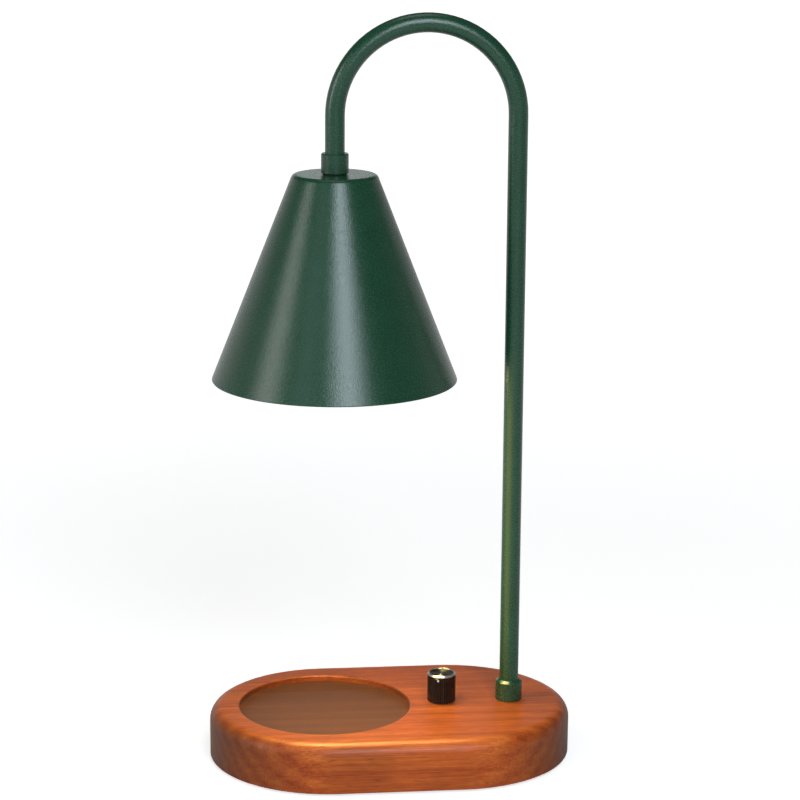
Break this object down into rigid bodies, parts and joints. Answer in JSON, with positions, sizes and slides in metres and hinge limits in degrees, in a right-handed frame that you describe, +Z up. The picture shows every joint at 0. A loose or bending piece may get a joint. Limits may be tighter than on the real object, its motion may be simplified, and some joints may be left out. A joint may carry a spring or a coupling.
{
  "type": "candle warmer lamp",
  "caption": "Table lamp that melts a jar candle from above: conical metal shade on a bent tube arm, round-ended wooden base with a candle recess and a dimmer knob.",
  "frame": {"origin": "under the middle of the base, on the surface that the feet stand on", "axes": "+Z up; +X along the base from the candle's end to the arm's end; the front faces -Y"},
  "size_m": [0.19, 0.1256, 0.39],
  "materials": {
    "stained_wood": "stained, satin lacquer",
    "green_powder_coat": "satin powder coat, fine texture",
    "cover_plastic": "moulded, fine matt grain",
    "black_rubber": "matt",
    "zinc_steel": "zinc plated",
    "fibre": "pressed black fibre",
    "knob_black": "moulded, glossy",
    "knob_metal": "diamond cut",
    "knob_dark_metal": "turned, black anodised",
    "mark_white": "filled marking",
    "board_green": "solder resist on glass fibre",
    "terminal_green": "moulded",
    "capacitor_yellow": "moulded",
    "triac_black": "moulded",
    "ferrite": "matt ferrite",
    "copper_wire": "enamelled copper",
    "resistor_tan": "lacquered",
    "wire_white": "silicone insulation",
    "steatite": "unglazed",
    "brass": "bright",
    "lamp_ceramic": "white",
    "reflector_coat": "aluminised glass",
    "clear_glass": "clear",
    "tungsten": "glowing coil"
  },
  "bodies": {
    "stand": {"base_block": "stained_wood", "bottom_cover": "cover_plastic", "cover_screws": "zinc_steel", "feet": "black_rubber", "cord_grommet": "black_rubber", "control_bush": "zinc_steel", "control_can": "zinc_steel", "control_pins": "zinc_steel", "control_washer": "zinc_steel", "control_nut": "zinc_steel", "dimmer_board": "board_green", "terminal_block": "terminal_green", "terminal_screws": "zinc_steel", "filter_capacitor": "capacitor_yellow", "dimmer_triac": "triac_black", "choke_core": "ferrite", "choke_winding": "copper_wire", "board_resistors": "resistor_tan", "arm_tube": "green_powder_coat", "lamp_wires": "wire_white", "base_collar": "green_powder_coat", "base_washer": "zinc_steel", "base_nut": "zinc_steel", "shade_collar": "green_powder_coat", "shade_gasket": "fibre", "lamp_shade": "green_powder_coat", "shade_washer": "zinc_steel", "shade_nut": "zinc_steel", "holder_bracket": "zinc_steel", "holder_body": "steatite", "holder_cap": "steatite", "holder_contacts": "brass", "bracket_screws": "zinc_steel", "bracket_nuts": "zinc_steel"},
    "knob": {"knob_body": "knob_black", "knob_ring": "knob_metal", "knob_disc": "knob_dark_metal", "knob_marks": "mark_white", "control_shaft": "knob_metal"},
    "reflector_lamp": {"lamp_base": "lamp_ceramic", "lamp_pins": "zinc_steel", "lamp_reflector": "reflector_coat", "lamp_front_glass": "clear_glass", "lamp_capsule": "clear_glass", "lamp_filament": "tungsten"}
  },
  "joints": [
    {"name": "knob_turn", "type": "hinge", "parent": "stand", "child": "knob", "pos_m": [0.0275, 0, 0.0279], "axis": [0, 0, -1], "range_deg": [-270, 30]},
    {"name": "lamp_twist", "type": "hinge", "parent": "stand", "child": "reflector_lamp", "pos_m": [-0.0295, 0, 0.2742], "axis": [0, 0, -1], "range_deg": [0, 35]}
  ]
}
